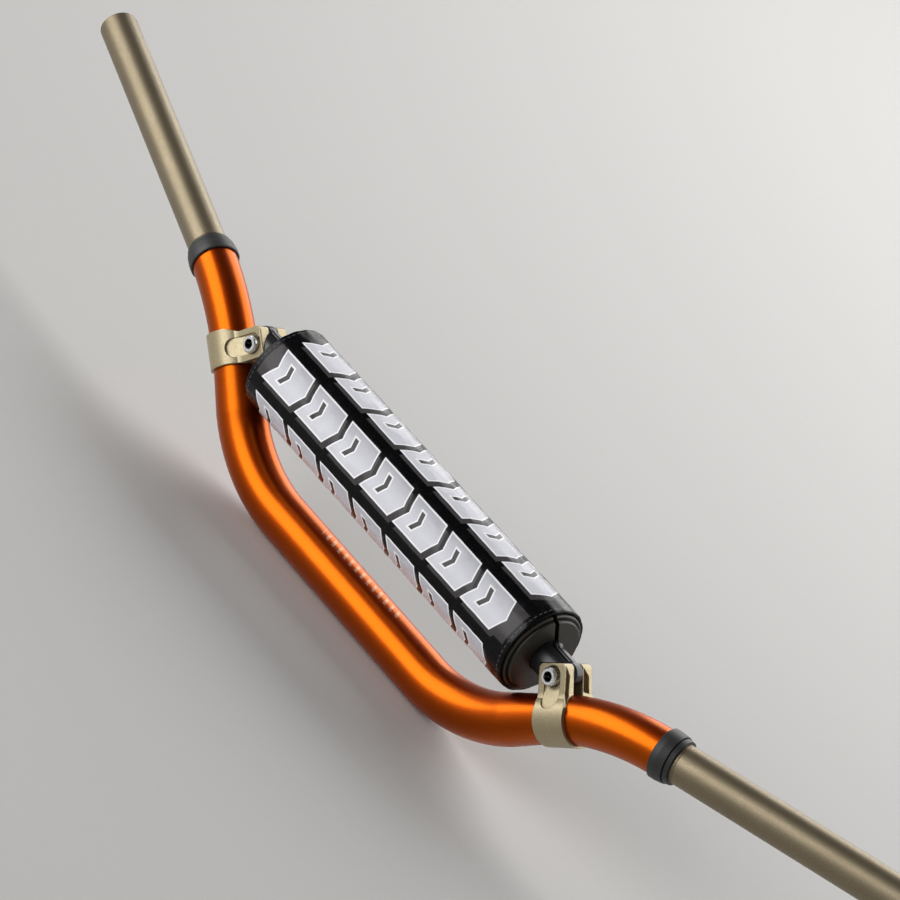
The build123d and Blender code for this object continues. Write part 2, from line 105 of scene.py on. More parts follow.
class Shader:
    """A material's node tree, with short calls for the nodes that the finishes share."""

    def __init__(self, name: str) -> None:
        """Starts an empty material.

        Args:
            name: The material's name.
        """
        self.material = bpy.data.materials.new(name)
        self.material.use_nodes = True
        self.tree = self.material.node_tree
        self.tree.nodes.clear()
        self.surface = self.tree.nodes.new("ShaderNodeBsdfPrincipled")
        self.output = self.tree.nodes.new("ShaderNodeOutputMaterial")
        self.feed(self.output.inputs["Surface"], self.surface.outputs[0])

    def feed(self, target: bpy.types.NodeSocket, value: object) -> None:
        """Links a socket, or sets its value when given a constant.

        Args:
            target: The input socket.
            value: An output socket, a number or a tuple.
        """
        if isinstance(value, bpy.types.NodeSocket):
            self.tree.links.new(value, target)
        elif isinstance(value, tuple) and len(value) == 3 and target.type == "RGBA":
            target.default_value = (*value, 1.0)
        else:
            target.default_value = value

    def place(self) -> bpy.types.NodeSocket:
        """Gives the object coordinate.

        Returns:
            The vector socket, in metres.
        """
        return self.tree.nodes.new("ShaderNodeTexCoord").outputs["Object"]

    def attribute(self, name: str) -> bpy.types.NodeSocket:
        """Reads the numbers that a mesh stores for its points.

        Args:
            name: The attribute's name.

        Returns:
            The value socket.
        """
        node = self.tree.nodes.new("ShaderNodeAttribute")
        node.attribute_name = name
        return node.outputs["Fac"]

    def noise(
        self, vector: object, scale: float, detail: float, rough: float = 0.5
    ) -> bpy.types.NodeSocket:
        """Gives a noise value from 0 to 1.

        Args:
            vector: The coordinate.
            scale: Waves in a metre.
            detail: Octaves.
            rough: How strong each further octave is.

        Returns:
            The value socket.
        """
        node = self.tree.nodes.new("ShaderNodeTexNoise")
        self.feed(node.inputs["Vector"], vector)
        self.feed(node.inputs["Scale"], scale)
        self.feed(node.inputs["Detail"], detail)
        self.feed(node.inputs["Roughness"], rough)
        return node.outputs["Fac"]

    def math(self, operation: str, *values: object, clamp: bool = False) -> bpy.types.NodeSocket:
        """Does one sum.

        Args:
            operation: The math node's operation.
            values: Its inputs, sockets or numbers.
            clamp: Whether the result is kept from 0 to 1.

        Returns:
            The value socket.
        """
        node = self.tree.nodes.new("ShaderNodeMath")
        node.operation = operation
        node.use_clamp = clamp
        for socket, value in zip(node.inputs, values):
            self.feed(socket, value)
        return node.outputs[0]

    def spread(
        self, value: object, span: tuple[float, float], low: float, high: float
    ) -> bpy.types.NodeSocket:
        """Maps a value linearly from one range to another, clamped.

        Args:
            value: The value socket.
            span: Start and end of its range.
            low: Result at the start.
            high: Result at the end.

        Returns:
            The value socket.
        """
        node = self.tree.nodes.new("ShaderNodeMapRange")
        for name, number in (
            ("Value", value), ("From Min", span[0]), ("From Max", span[1]),
            ("To Min", low), ("To Max", high),
        ):
            self.feed(node.inputs[name], number)
        return node.outputs["Result"]

    def mix(self, share: object, first: object, second: object) -> bpy.types.NodeSocket:
        """Mixes two colours.

        Args:
            share: How much of the second, from 0 to 1.
            first: A colour or its socket.
            second: A colour or its socket.

        Returns:
            The colour socket.
        """
        node = self.tree.nodes.new("ShaderNodeMix")
        node.data_type = "RGBA"
        self.feed(node.inputs[0], share)
        self.feed(node.inputs[6], first)
        self.feed(node.inputs[7], second)
        return node.outputs[2]

    def bump(self, height: object, strength: float, distance: float, edge: float = 0.0) -> None:
        """Roughens the surface's normal.

        Args:
            height: The height socket, from 0 to 1.
            strength: The bump's share.
            distance: The height in metres at 1.
            edge: Radius in metres that the edges look rounded by.
        """
        node = self.tree.nodes.new("ShaderNodeBump")
        if edge:
            round_off = self.tree.nodes.new("ShaderNodeBevel")
            round_off.samples = 6
            round_off.inputs["Radius"].default_value = edge
            self.feed(node.inputs["Normal"], round_off.outputs[0])
        self.feed(node.inputs["Strength"], strength)
        self.feed(node.inputs["Distance"], distance)
        self.feed(node.inputs["Height"], height)
        self.feed(self.surface.inputs["Normal"], node.outputs[0])

    def axis(self, vector: object, name: str) -> bpy.types.NodeSocket:
        """Gives one component of a vector.

        Args:
            vector: The vector socket.
            name: X, Y or Z.

        Returns:
            The value socket.
        """
        node = self.tree.nodes.new("ShaderNodeSeparateXYZ")
        self.feed(node.inputs[0], vector)
        return node.outputs[name]

    def inside(self, value: object, half: object, soft: float) -> bpy.types.NodeSocket:
        """Gives 1 where a value is within a distance of zero, with a soft edge.

        Args:
            value: The value socket.
            half: The distance.
            soft: The edge's width.

        Returns:
            The share socket, from 0 to 1.
        """
        room = self.math("SUBTRACT", half, self.math("ABSOLUTE", value))
        return self.math("DIVIDE", room, soft, clamp=True)

    def repeat(self, value: object, pitch: float) -> bpy.types.NodeSocket:
        """Folds a value into one pitch, centred on zero.

        Args:
            value: The value socket.
            pitch: The pitch.

        Returns:
            The value socket, from minus half a pitch to half a pitch.
        """
        return self.math("WRAP", value, pitch / 2, -pitch / 2)

    def both(self, first: object, second: object) -> bpy.types.NodeSocket:
        """Multiplies two shares.

        Args:
            first: A share from 0 to 1.
            second: A share from 0 to 1.

        Returns:
            The share of both.
        """
        return self.math("MULTIPLY", first, second)

    def second_lobe(self, share: float, colour: Colour, rough: float) -> None:
        """Adds a brighter metal reflection over the surface.

        Args:
            share: The reflection's share, from 0 to 1.
            colour: Its colour.
            rough: Its roughness.
        """
        lobe = self.tree.nodes.new("ShaderNodeBsdfPrincipled")
        self.feed(lobe.inputs["Base Color"], colour)
        self.feed(lobe.inputs["Metallic"], 1.0)
        self.feed(lobe.inputs["Roughness"], rough)
        for link in self.surface.inputs["Normal"].links:
            self.feed(lobe.inputs["Normal"], link.from_socket)
        blend = self.tree.nodes.new("ShaderNodeMixShader")
        self.feed(blend.inputs[0], share)
        self.feed(blend.inputs[1], self.surface.outputs[0])
        self.feed(blend.inputs[2], lobe.outputs[0])
        self.feed(self.output.inputs["Surface"], blend.outputs[0])

    def set(self, **values: object) -> None:
        """Sets the surface's inputs by name, with underscores for spaces.

        Args:
            values: Sockets or constants.
        """
        for name, value in values.items():
            self.feed(self.surface.inputs[name.replace("_", " ")], value)


def scaled(colour: Colour, share: float) -> Colour:
    """Darkens or lightens a colour.

    Args:
        colour: The colour.
        share: What each part is multiplied by.

    Returns:
        The new colour.
    """
    return tuple(share * part for part in colour)


@dataclass(frozen=True)
class TubeMarks:
    """A row of slanted strokes printed along the top of the centre section.

    Attributes:
        start: The first stroke's place along X, in metres.
        end: The last one's.
        pitch: From one stroke to the next.
        half: Half a stroke's width along X.
        lean: How far along X a stroke leans for each metre round the tube.
        girth: The row's middle, an angle from the top toward the front, in degrees.
        reach: Half the row's width round the tube.
        radius: The tube's radius.
        colour: The print's colour.
        dull: How much less metallic the print is than the tube.
    """

    start: float = -0.038
    end: float = 0.036
    pitch: float = 0.0055
    half: float = 0.0012
    lean: float = 0.55
    girth: float = 8.0
    reach: float = 0.0030
    radius: float = 0.0143
    colour: Colour = (0.62, 0.50, 0.42)
    dull: float = 0.6

    def share(self, shader: Shader) -> bpy.types.NodeSocket:
        """Gives where the print is.

        Args:
            shader: The tube's shader.

        Returns:
            The share socket, from 0 to 1.
        """
        place = shader.place()
        forward = shader.math("MULTIPLY", shader.axis(place, "Y"), -1.0)
        angle = shader.math("ARCTAN2", forward, shader.axis(place, "Z"))
        arc = shader.math("MULTIPLY", shader.math("SUBTRACT", angle, math.radians(self.girth)), self.radius)
        along = shader.math("SUBTRACT", shader.axis(place, "X"), shader.math("MULTIPLY", arc, self.lean))
        middle, reach = (self.start + self.end) / 2, (self.end - self.start) / 2
        row = shader.inside(shader.math("SUBTRACT", along, middle), reach, soft=0.0001)
        stroke = shader.inside(shader.repeat(along, self.pitch), self.half, soft=0.0003)
        band = shader.inside(arc, self.reach, soft=0.0004)
        worn = shader.noise(place, scale=1500.0, detail=4.0)
        left = shader.spread(worn, span=(0.42, 0.58), low=0.25, high=0.8)
        return shader.both(shader.both(row, stroke), shader.both(band, left))


@dataclass(frozen=True)
class Anodised:
    """Satin anodised aluminium with a fine blasted grain.

    Attributes:
        name: The material's name.
        colour: The dye's colour.
        shade: The colour where the dye took deeper.
        rough: Mean roughness.
        grain: Waves in a metre of the grain.
        fleck: How bright the grain's dark flecks are, against the colour.
        metal: How metallic the surface is.
        glow: Colour of the brighter reflection over the dye, if it has one.
        glow_share: That reflection's share.
        glow_rough: That reflection's roughness.
        edge: Radius that the edges look rounded by.
        marks: The print on it, if it has one.
    """

    name: str
    colour: Colour
    shade: Colour
    rough: float = 0.3
    grain: float = 1500.0
    fleck: float = 0.82
    metal: float = 1.0
    glow: Colour | None = None
    glow_share: float = 0.4
    glow_rough: float = 0.2
    edge: float = 0.0004
    marks: TubeMarks | None = None

    def material(self) -> bpy.types.Material:
        """Makes the material.

        Returns:
            The material.
        """
        shader = Shader(self.name)
        place = shader.place()
        cloud = shader.noise(place, scale=28.0, detail=2.0)
        grain = shader.noise(place, self.grain, detail=2.0)
        streak = shader.noise(place, scale=420.0, detail=3.0)
        dye = shader.mix(shader.spread(cloud, NOISE_SPAN, 0.0, 1.0), self.colour, self.shade)
        fleck = shader.spread(grain, span=(0.42, 0.62), low=0.0, high=1.0)
        dye = shader.mix(fleck, dye, scaled(self.colour, self.fleck))
        metal = self.metal
        rough = shader.math(
            "ADD", shader.spread(grain, NOISE_SPAN, self.rough - ROUGH_SWING, self.rough + ROUGH_SWING),
            shader.spread(streak, span=(0.35, 0.65), low=-0.02, high=0.02),
        )
        if self.marks:
            printed = self.marks.share(shader)
            dye = shader.mix(printed, dye, self.marks.colour)
            metal = shader.math("SUBTRACT", self.metal, shader.math("MULTIPLY", printed, self.marks.dull))
        shader.set(Base_Color=dye, Metallic=metal, Roughness=rough)
        shader.bump(grain, strength=0.22, distance=0.00004, edge=self.edge)
        if self.glow:
            shader.second_lobe(self.glow_share, self.glow, self.glow_rough)
        return shader.material


@dataclass(frozen=True)
class Plated:
    """Bright zinc-plated steel.

    Attributes:
        name: The material's name.
        colour: The metal's colour.
        rough: Mean roughness.
        dulled: How far the worn spots go above it.
        worn: How bright the worn spots are, against the colour.
        socket: The node whose screw sockets are darkened with painted shade, if there are any.
        socket_reach: Radius of the painted shade in the socket, in metres.
        socket_shade_colour: The colour of the painted shade in the sockets.
        socket_shade_rough: How much rougher the sockets' painted shade is than the metal.
    """

    name: str
    colour: Colour = (0.86, 0.87, 0.88)
    rough: float = 0.26
    dulled: float = 0.08
    worn: float = 0.85
    socket: str = ""
    socket_reach: float = 0.0030
    socket_shade_colour: Colour = (0.012, 0.012, 0.013)
    socket_shade_rough: float = 0.3

    def grease(self, shader: Shader) -> bpy.types.NodeSocket:
        """Gives where the sockets are, which get painted shade. Both screws lie along Y, mirrored in X.

        Args:
            shader: The screw's shader.

        Returns:
            The share socket, from 0 to 1.
        """
        low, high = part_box(self.socket)
        place = shader.place()
        aside = shader.math("ABSOLUTE", shader.axis(place, "X"))
        out_x = shader.math("SUBTRACT", aside, abs(low.x + high.x) / 2)
        out_z = shader.math("SUBTRACT", shader.axis(place, "Z"), (low.z + high.z) / 2)
        squares = shader.math("ADD", shader.math("POWER", out_x, 2.0), shader.math("POWER", out_z, 2.0))
        return shader.inside(shader.math("SQRT", squares), self.socket_reach, soft=0.0003)

    def material(self) -> bpy.types.Material:
        """Makes the material.

        Returns:
            The material.
        """
        shader = Shader(self.name)
        wear = shader.noise(shader.place(), scale=900.0, detail=3.0)
        colour = shader.mix(wear, self.colour, scaled(self.colour, self.worn))
        rough = shader.spread(wear, NOISE_SPAN, self.rough - ROUGH_SWING, self.rough + self.dulled)
        # Painted shade: the screws' sockets are darkened and roughened to stand in for the shade inside
        # them.
        if self.socket:
            dark = self.grease(shader)
            colour = shader.mix(dark, colour, self.socket_shade_colour)
            rough = shader.math("ADD", rough, shader.math("MULTIPLY", dark, self.socket_shade_rough))
        shader.set(Base_Color=colour, Metallic=1.0, Roughness=rough)
        shader.bump(wear, strength=0.05, distance=0.00003)
        return shader.material


@dataclass(frozen=True)
class Moulded:
    """A moulded rubber or plastic with a fine cast skin.

    Attributes:
        name: The material's name.
        colour: The base colour.
        rough: Mean roughness.
        texture: Waves in a metre of the skin's texture.
        pale: How bright the colour's clouds are, against it.
    """

    name: str
    colour: Colour
    rough: float
    texture: float
    pale: float = 1.5

    def material(self) -> bpy.types.Material:
        """Makes the material.

        Returns:
            The material.
        """
        shader = Shader(self.name)
        place = shader.place()
        skin = shader.noise(place, self.texture, detail=3.0)
        cloud = shader.noise(place, scale=60.0, detail=2.0)
        shader.set(
            Base_Color=shader.mix(cloud, self.colour, scaled(self.colour, self.pale)),
            Roughness=shader.spread(skin, NOISE_SPAN, self.rough - ROUGH_SWING, self.rough + ROUGH_SWING),
        )
        shader.bump(skin, strength=0.35, distance=0.00005)
        return shader.material


class Look(Enum):
    """The finish of each kind of CAD piece."""

    ORANGE = Anodised(
        "orange_anodised", (0.40, 0.019, 0.003), (0.35, 0.014, 0.002), rough=0.42,
        glow=(0.52, 0.165, 0.006), glow_share=0.40, glow_rough=0.27, marks=TubeMarks(),
    )
    BRONZE = Anodised(
        "bronze_anodised", (0.25, 0.206, 0.136), (0.215, 0.176, 0.114), rough=0.43, metal=0.85
    )
    CLAMP = Anodised(
        "clamp_anodised", (0.41, 0.345, 0.212), (0.37, 0.31, 0.19), rough=0.38, metal=0.6, edge=0.0007
    )
    BLACK_METAL = Anodised("black_anodised", (0.03, 0.03, 0.033), (0.02, 0.02, 0.022), metal=0.6)
    STEEL = Plated("zinc_steel")
    # The bolts' screw sockets get painted shade.
    SOCKETED = Plated("bolt_steel", socket="left_clamp_bolt")
    RUBBER = Moulded("black_rubber", (0.013, 0.013, 0.013), rough=0.5, texture=2600.0)
    MOULDING = Moulded("black_moulding", (0.010, 0.010, 0.011), rough=0.33, texture=1200.0)
    CAP = Moulded("cap_moulding", (0.014, 0.0122, 0.0072), rough=0.5, texture=1500.0)


NODE_LOOKS = {
    "outer_tube": Look.ORANGE,
    "inner_tube": Look.BRONZE,
    "collar": Look.RUBBER,
    "crossbar_clamp": Look.CLAMP,
    "clamp_bolt": Look.SOCKETED,
    "clamp_nut": Look.STEEL,
    "end_sleeve": Look.STEEL,
    "crossbar_tube": Look.BLACK_METAL,
    "crossbar_end": Look.MOULDING,
    "pad_cap": Look.CAP,
}


# Soft pieces of the bar pad

def grid_piece(name: str, points: FloatArray, closed: bool) -> bpy.types.Object:
    """Makes a mesh from loops of points that follow each other.

    Args:
        name: The piece's name.
        points: An array of loops by points in a loop by 3, in metres. Each loop is closed.
        closed: Whether the last loop joins the first. Otherwise both ends get a flat face.

    Returns:
        The piece, with its faces turned outward.
    """
    loops, count = points.shape[:2]
    index = np.arange(loops * count).reshape(loops, count)
    ahead = np.roll(index, -1, axis=0)
    rows = slice(None) if closed else slice(None, -1)
    quads = np.stack(
        [index[rows], np.roll(index, -1, axis=1)[rows], np.roll(ahead, -1, axis=1)[rows], ahead[rows]],
        axis=-1,
    ).reshape(-1, 4)
    flat = points.reshape(-1, 3)
    a, b, c, d = (flat[quads[:, k]] for k in range(4))
    volume = np.einsum("ij,ij->", a + b + c + d, np.cross(c - a, d - b))
    faces = quads[:, ::-1] if volume < 0 else quads
    polygons = faces.tolist()
    if not closed:
        first, last = index[0].tolist(), index[-1].tolist()
        polygons += [first, last[::-1]] if volume < 0 else [first[::-1], last]
    mesh = bpy.data.meshes.new(name)
    mesh.from_pydata(flat.tolist(), [], polygons)
    mesh.shade_smooth()
    return added(name, mesh)


def point_values(piece: bpy.types.Object, name: str, values: FloatArray) -> None:
    """Stores one number for each point.

    Args:
        piece: The piece.
        name: The attribute's name.
        values: The numbers, in the points' order.
    """
    layer = piece.data.attributes.new(name, "FLOAT", "POINT")
    layer.data.foreach_set("value", values.ravel().astype(np.float32))


def smooth_once(piece: bpy.types.Object) -> None:
    """Adds one level of subdivision.

    Args:
        piece: The piece.
    """
    modifier = piece.modifiers.new("smooth", "SUBSURF")
    modifier.levels = modifier.render_levels = 1


@dataclass(frozen=True)
class PadSizes:
    """Where the bar pad is and how large its pieces are, in metres and degrees.

    Attributes:
        y: The pad's axis along Y.
        z: The pad's axis along Z.
        radius: The sleeve's outer radius.
        half: Half the sleeve's length.
        foam_half: Half the foam's length.
        strip_half: Half the closure strip's length.
        wall: The sleeve's wall.
        hem: Radius of the rolled hem.
        foam_gap: Between the foam and the sleeve.
        bore: Radius of the foam's bore.
        slit: Width of the foam's slit.
        slit_at: The slit, an angle from the top toward the front.
        strip_at: Middle of the closure strip, an angle from the top toward the front.
        strip_spread: The angle that the strip covers.
        strip_wall: The strip's thickness.
        strip_clear: Between the sleeve's plain radius and the strip.
        pucker: Height of the gathers at the hems.
        pucker_reach: How far the gathers run in from the hems.
        gather_count: Their number round the girth.
        gather_stray: How unevenly they are spaced, in radians of their wave.
        foam_edge: How far the foam's edges are cut back.
        strip_edge: How far the strip's edges are cut back.
    """

    y: float
    z: float
    radius: float
    half: float
    foam_half: float
    strip_half: float
    wall: float = 0.0013
    hem: float = 0.0009
    foam_gap: float = 0.0006
    bore: float = 0.0096
    slit: float = 0.0010
    slit_at: float = 34.0
    strip_at: float = -112.5
    strip_spread: float = 47.0
    strip_wall: float = 0.0010
    strip_clear: float = 0.00046
    pucker: float = 0.00012
    pucker_reach: float = 0.009
    gather_count: int = 19
    gather_stray: float = 1.7
    foam_edge: float = 0.0008
    strip_edge: float = 0.0003

    @classmethod
    def from_frame(cls) -> "PadSizes":
        """Reads the sizes that follow the CAD model.

        Returns:
            The sizes.
        """
        low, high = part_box("pad_cover")
        core_low, core_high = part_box("pad_core")
        strip_low, strip_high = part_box("pad_closure_strip")
        return cls(
            y=(low.y + high.y) / 2, z=(low.z + high.z) / 2,
            radius=(high.z - low.z) / 2, half=(high.x - low.x) / 2,
            foam_half=(core_high.x - core_low.x) / 2, strip_half=(strip_high.x - strip_low.x) / 2,
        )


@dataclass(frozen=True)
class VinylSettings:
    """How the sleeve's vinyl is simulated. Stiffness is in the solver's units.

    Attributes:
        scale: How much larger it is simulated, since the solver is made for pieces near a metre.
        frames: Frames that the simulation runs for.
        loops: Points round the sleeve.
        rows: Points along it.
        pressure: The foam's push.
        growth: How much larger the vinyl is cut than the foam, as a share.
        stiffness: Stiffness against stretching and pressing.
        shear: Stiffness against shearing.
        bending: Stiffness against bending.
        start_wave: Height of the uneven start that the folds grow from, in metres.
        waves: Folds round the girth in the uneven start.
        weakest: The least share of the height that a wave gets.
        slant: How far a wave may turn round the sleeve in a metre, in radians.
        hem_power: How late the uneven start fades toward the hems.
        seed: The start's random seed.
        inward: How far a point may sink, in metres.
        outward: How far it may swell.
    """

    scale: float = 20.0
    frames: int = 24
    loops: int = 180
    rows: int = 60
    pressure: float = 0.8
    growth: float = 0.006
    stiffness: float = 40.0
    shear: float = 20.0
    bending: float = 2.0
    start_wave: float = 0.00004
    waves: tuple[int, ...] = (5, 7, 9, 11, 13, 17)
    weakest: float = 0.3
    slant: float = 9.0
    hem_power: int = 8
    seed: int = 3
    inward: float = 0.0002
    outward: float = 0.0003


class SleeveCloth:
    """A cloth simulation of the sleeve's vinyl, pressed out by the foam and held at both hems."""

    def __init__(self, radius: float, half: float, settings: VinylSettings) -> None:
        """Keeps the sleeve's sizes.

        Args:
            radius: The sleeve's radius, in metres.
            half: Half its length.
            settings: The simulation's settings.
        """
        self.radius = radius
        self.settings = settings
        self.x = np.linspace(-half, half, settings.rows)
        self.angles = np.linspace(0.0, 2 * np.pi, settings.loops, endpoint=False)

    def start_points(self) -> FloatArray:
        """Gives the uneven tube that the simulation starts from.

        Returns:
            The points, loops by rows by 3, at the solver's scale.
        """
        v = self.settings
        random = np.random.default_rng(v.seed)
        turn, along = self.angles[:, None], self.x[None]
        wave = np.zeros((v.loops, v.rows))
        for folds in v.waves:
            height = random.uniform(v.weakest, 1.0)
            phase = random.uniform(0.0, 2 * np.pi)
            wave += height * np.sin(folds * turn + phase + random.uniform(-v.slant, v.slant) * along)
        held = 1.0 - np.abs(along / self.x[-1]) ** v.hem_power
        radius = self.radius + v.start_wave * wave * held
        x = np.broadcast_to(along, radius.shape)
        return v.scale * np.stack([x, -radius * np.sin(turn), radius * np.cos(turn)], axis=-1)

    def stiffen(self, modifier: bpy.types.Modifier, hem: str) -> None:
        """Sets the cloth's stiffness, its pressure and what holds it.

        Args:
            modifier: The Cloth modifier.
            hem: The group of points that are held.
        """
        v = self.settings
        solver = modifier.settings
        solver.quality = 6
        solver.tension_stiffness = solver.compression_stiffness = v.stiffness
        solver.shear_stiffness = v.shear
        solver.bending_stiffness = v.bending
        solver.tension_damping = 10.0
        solver.bending_damping = 2.0
        solver.vertex_group_mass = hem
        solver.use_pressure = True
        solver.uniform_pressure_force = v.pressure
        solver.shrink_min = -v.growth
        solver.effector_weights.gravity = 0.0
        modifier.collision_settings.use_collision = False
        modifier.point_cache.frame_start = 1
        modifier.point_cache.frame_end = v.frames

    def simulate(self) -> FloatArray:
        """Runs the simulation and removes it again.

        Returns:
            How far each point swells or sinks, loops by rows, in metres.
        """
        v = self.settings
        scene = bpy.context.scene
        index = np.arange(v.loops * v.rows).reshape(v.loops, v.rows)
        ahead = np.roll(index, -1, axis=0)
        quads = np.stack([index[:, :-1], ahead[:, :-1], ahead[:, 1:], index[:, 1:]], axis=-1)
        mesh = bpy.data.meshes.new("vinyl_cloth")
        mesh.from_pydata(self.start_points().reshape(-1, 3).tolist(), [], quads.reshape(-1, 4).tolist())
        cloth = added("vinyl_cloth", mesh)
        hem = cloth.vertex_groups.new(name="hem")
        hem.add(index[:, [0, 1, -2, -1]].ravel().tolist(), 1.0, "REPLACE")
        self.stiffen(cloth.modifiers.new("cloth", "CLOTH"), hem.name)
        for step in range(1, v.frames + 1):
            scene.frame_set(step)
        result = cloth.evaluated_get(bpy.context.evaluated_depsgraph_get())
        shape = result.to_mesh()
        points = np.empty(len(shape.vertices) * 3, dtype=np.float32)
        shape.vertices.foreach_get("co", points)
        result.to_mesh_clear()
        scene.frame_set(1)
        bpy.data.objects.remove(cloth)
        bpy.data.meshes.remove(mesh)
        points = points.reshape(v.loops, v.rows, 3) / v.scale
        return np.hypot(points[..., 1], points[..., 2]) - self.radius

    def heights(self, x: FloatArray) -> FloatArray:
        """Gives the swell for the sleeve's own points, held between the limits.

        Args:
            x: Places along X, in metres.

        Returns:
            The heights, angles by places.
        """
        v = self.settings
        swell = self.simulate()
        limit = np.where(swell > 0, v.outward, v.inward)
        swell = limit * np.tanh(swell / limit)
        log.info("vinyl swells from %.2f to %.2f mm", 1000 * swell.min(), 1000 * swell.max())
        return np.array([np.interp(x, self.x, row) for row in swell])


class BarPad:
    """The foam roll, its printed sleeve and the strip that closes it."""

    def __init__(self, sizes: PadSizes, vinyl: VinylSettings, finishes: "PadFinishes") -> None:
        """Keeps the sizes and the finishes.

        Args:
            sizes: The pad's sizes.
            vinyl: How the sleeve is simulated.
            finishes: The pad's materials.
        """
        self.sizes = sizes
        self.vinyl = vinyl
        self.finishes = finishes

    def swept(self, profile: FloatArray, angles: FloatArray, rise: FloatArray | float = 0.0) -> FloatArray:
        """Turns a profile round the pad's axis.

        Args:
            profile: Points as places along X and radii.
            angles: Angles from the top toward the front, in radians.
            rise: What is added to the radii, by angles and profile points.

        Returns:
            The points, angles by profile points by 3.
        """
        x = np.broadcast_to(profile[:, 0], (len(angles), len(profile)))
        radius = profile[:, 1] + rise
        turn = angles[:, None]
        return np.stack(
            [x, self.sizes.y - radius * np.sin(turn), self.sizes.z + radius * np.cos(turn)], axis=-1
        )

    def gathers(self, x: FloatArray, angles: FloatArray) -> FloatArray:
        """Gives the sewn gathers at the hems.

        Args:
            x: Places along X.
            angles: Angles round the pad, in radians.

        Returns:
            The heights, angles by places.
        """
        s = self.sizes
        turn = angles[:, None]
        near_hem = np.exp(-((s.half - np.abs(x)) / s.pucker_reach) ** 2)
        return s.pucker * near_hem * np.sin(
            s.gather_count * turn + s.gather_stray * np.sin(3 * turn) + np.sign(x)
        )

    def sleeve(self) -> bpy.types.Object:
        """Makes the printed sleeve with its rolled hems.

        Returns:
            The piece.
        """
        s = self.sizes
        straight = s.half - s.hem
        middle = s.radius - s.hem
        roll = np.linspace(0.0, np.pi, num=9)[1:-1]
        outside = np.linspace(-straight, straight, num=86)
        inside = np.linspace(straight, -straight, num=20)
        outer = np.stack([outside, np.full_like(outside, s.radius)], axis=1)
        inner = np.stack([inside, np.full_like(inside, s.radius - s.wall)], axis=1)
        right = np.stack([straight + s.hem * np.sin(roll), middle + s.hem * np.cos(roll)], axis=1)
        left = np.stack([-straight - s.hem * np.sin(roll), middle - s.hem * np.cos(roll)], axis=1)
        profile = np.concatenate([outer, right, inner, left])
        first = math.radians(s.strip_at)
        cloth = SleeveCloth(s.radius, straight, self.vinyl)
        angles = first + cloth.angles
        x = profile[:, 0]
        points = self.swept(profile, angles, cloth.heights(x) + self.gathers(x, angles))
        piece = grid_piece("pad_sleeve", points, closed=True)
        shape = (len(angles), len(profile))
        point_values(piece, "along", np.broadcast_to(x * 1000.0, shape))
        point_values(piece, "girth", np.broadcast_to(angles[:, None] * s.radius * 1000.0, shape))
        return piece

    def open_roll(
        self, name: str, half: float, radii: tuple[float, float], angles: FloatArray, edge: float
    ) -> bpy.types.Object:
        """Makes a piece bent round the pad's axis that doesn't close on itself.

        Args:
            name: The piece's name.
            half: Half its length.
            radii: Its outer and inner radius.
            angles: The angles of its loops, in radians.
            edge: How far its edges are cut back.

        Returns:
            The piece.
        """
        outer, inner = radii
        cut = min(edge, (outer - inner) / 3)
        length = np.linspace(-half + edge, half - edge, num=60)
        top = np.stack([length, np.full_like(length, outer)], axis=1)
        bottom = np.stack([length[::-1], np.full_like(length, inner)], axis=1)
        right = np.array([[half, outer - cut], [half, inner + cut]])
        profile = np.concatenate([top, right, bottom, right[::-1] * [-1, 1]])
        return grid_piece(name, self.swept(profile, angles), closed=False)

    def foam(self) -> bpy.types.Object:
        """Makes the foam roll, slit along its length.

        Returns:
            The piece.
        """
        s = self.sizes
        outer = s.radius - s.wall - s.foam_gap
        slit = s.slit / outer
        start = math.radians(s.slit_at) + slit / 2
        angles = np.linspace(start, start + 2 * np.pi - slit, num=96)
        return self.open_roll("pad_foam", s.foam_half, (outer, s.bore), angles, s.foam_edge)

    def strip(self) -> bpy.types.Object:
        """Makes the strip that closes the sleeve behind.

        Returns:
            The piece.
        """
        s = self.sizes
        spread = math.radians(s.strip_spread)
        start = math.radians(s.strip_at) - spread / 2
        angles = np.linspace(start, start + spread, num=24)
        inner = s.radius + s.strip_clear
        radii = (inner + s.strip_wall, inner)
        return self.open_roll("pad_strip", s.strip_half, radii, angles, s.strip_edge)

    def build(self) -> None:
        for piece, node, material, slot, fill in (
            (self.foam(), "pad_core", self.finishes.foam(), "pad_foam", 1.0),
            (self.sleeve(), "pad_cover", self.finishes.vinyl(), "printed_vinyl", 0.97),
            (self.strip(), "pad_closure_strip", self.finishes.webbing(), "closure_webbing", None),
        ):
            piece.data.materials.append(material)
            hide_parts(node)
            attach(piece, "root")
            if fill is not None:
                smooth_once(piece)
            log.info("soft piece %s for %s, %d faces", piece.name, node, len(piece.data.polygons))


